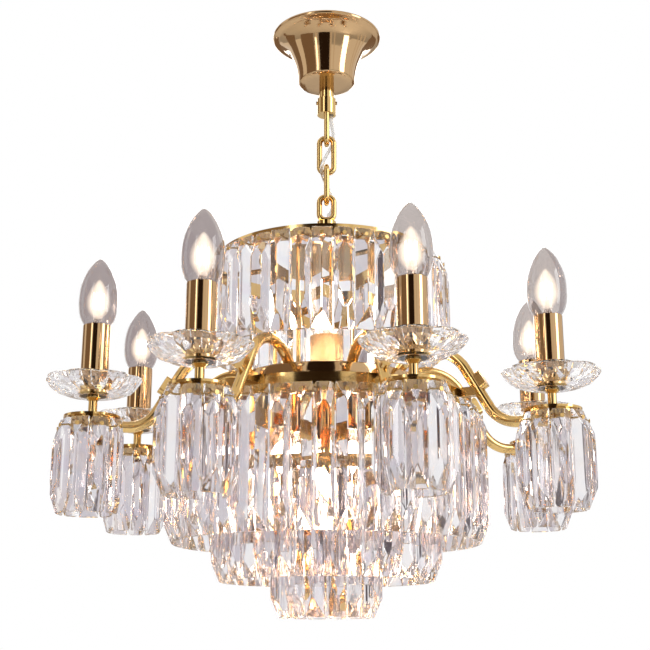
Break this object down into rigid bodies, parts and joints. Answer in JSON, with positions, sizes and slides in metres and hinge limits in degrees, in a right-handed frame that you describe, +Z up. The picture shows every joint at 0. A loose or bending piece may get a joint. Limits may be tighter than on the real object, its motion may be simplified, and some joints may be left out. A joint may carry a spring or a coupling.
{
  "type": "crystal chandelier",
  "caption": "Chain-hung crystal chandelier with S-shaped arms, candle lamps over cut-glass dishes, crystal pendants and stepped tiers of hanging prisms.",
  "frame": {"origin": "centre of the canopy's mouth, on the ceiling plane", "axes": "+Z up into the ceiling along the chandelier's axis, -Y towards the viewer of the picture, +X to the viewer's right"},
  "size_m": [0.5038, 0.5038, 0.5863],
  "materials": {
    "gold": "polished",
    "steel": "zinc plated",
    "crystal": "cut and polished",
    "lamp_glass": "clear",
    "holder": "moulded",
    "terminal": "moulded",
    "cable": "clear"
  },
  "bodies": {
    "ceiling": {"ceiling_strap": "steel", "strap_nut": "steel", "canopy": "gold", "canopy_nipple": "steel", "lock_ring": "gold", "loop_collar": "gold", "collar_screws": "gold", "terminal_block": "terminal", "supply_cable": "cable"},
    "link_1": {"chain_link_1": "gold"},
    "link_2": {"chain_link_2": "gold"},
    "bulb_1": {"bulb_1": "lamp_glass"},
    "bulb_2": {"bulb_2": "lamp_glass"},
    "bulb_3": {"bulb_3": "lamp_glass"},
    "bulb_4": {"bulb_4": "lamp_glass"},
    "bulb_5": {"bulb_5": "lamp_glass"},
    "bulb_6": {"bulb_6": "lamp_glass"},
    "bulb_7": {"bulb_7": "lamp_glass"},
    "bulb_8": {"bulb_8": "lamp_glass"},
    "chandelier": {"arm_1": "gold", "arm_2": "gold", "arm_3": "gold", "arm_4": "gold", "arm_5": "gold", "arm_6": "gold", "arm_7": "gold", "arm_8": "gold", "arm_clamps": "gold", "big_prisms": "crystal", "big_ring": "gold", "bottom_prisms": "crystal", "bottom_ring": "gold", "candle_holders": "holder", "candle_sleeves": "gold", "centre_bulb": "lamp_glass", "centre_holder": "holder", "centre_sleeve": "gold", "centre_tube": "gold", "crown_frame": "gold", "crown_stem": "gold", "down_bulbs": "lamp_glass", "down_holders": "holder", "drip_dishes": "crystal", "ferrules": "gold", "finial": "gold", "frame_nuts": "gold", "hanging_ring": "gold", "main_plate": "gold", "pendant_hubs": "gold", "pendant_prisms": "crystal", "plate_cover": "gold", "prism_pins": "gold", "ring_clips": "gold", "rod_nuts": "gold", "support_rods": "gold", "third_prisms": "crystal", "third_ring": "gold", "top_cap": "gold", "upper_prisms": "crystal"}
  },
  "joints": [
    {"name": "link_1_swing", "type": "hinge", "parent": "ceiling", "child": "link_1", "pos_m": [0, 0, -0.1202], "axis": [0, 1, 0], "range_deg": [-20, 20], "deforming": ["supply_cable"]},
    {"name": "link_2_swing", "type": "hinge", "parent": "link_1", "child": "link_2", "pos_m": [0, 0, -0.152], "axis": [1, 0, 0], "range_deg": [-20, 20], "deforming": ["supply_cable"]},
    {"name": "chandelier_swing", "type": "hinge", "parent": "link_2", "child": "chandelier", "pos_m": [0, 0, -0.1838], "axis": [0, 1, 0], "range_deg": [-20, 20], "deforming": ["supply_cable"]},
    {"name": "bulb_1_out", "type": "slide", "parent": "chandelier", "child": "bulb_1", "axis": [0, 0, 1], "range_m": [0, 0.1]},
    {"name": "bulb_2_out", "type": "slide", "parent": "chandelier", "child": "bulb_2", "axis": [0, 0, 1], "range_m": [0, 0.1]},
    {"name": "bulb_3_out", "type": "slide", "parent": "chandelier", "child": "bulb_3", "axis": [0, 0, 1], "range_m": [0, 0.1]},
    {"name": "bulb_4_out", "type": "slide", "parent": "chandelier", "child": "bulb_4", "axis": [0, 0, 1], "range_m": [0, 0.1]},
    {"name": "bulb_5_out", "type": "slide", "parent": "chandelier", "child": "bulb_5", "axis": [0, 0, 1], "range_m": [0, 0.1]},
    {"name": "bulb_6_out", "type": "slide", "parent": "chandelier", "child": "bulb_6", "axis": [0, 0, 1], "range_m": [0, 0.1]},
    {"name": "bulb_7_out", "type": "slide", "parent": "chandelier", "child": "bulb_7", "axis": [0, 0, 1], "range_m": [0, 0.1]},
    {"name": "bulb_8_out", "type": "slide", "parent": "chandelier", "child": "bulb_8", "axis": [0, 0, 1], "range_m": [0, 0.1]}
  ]
}
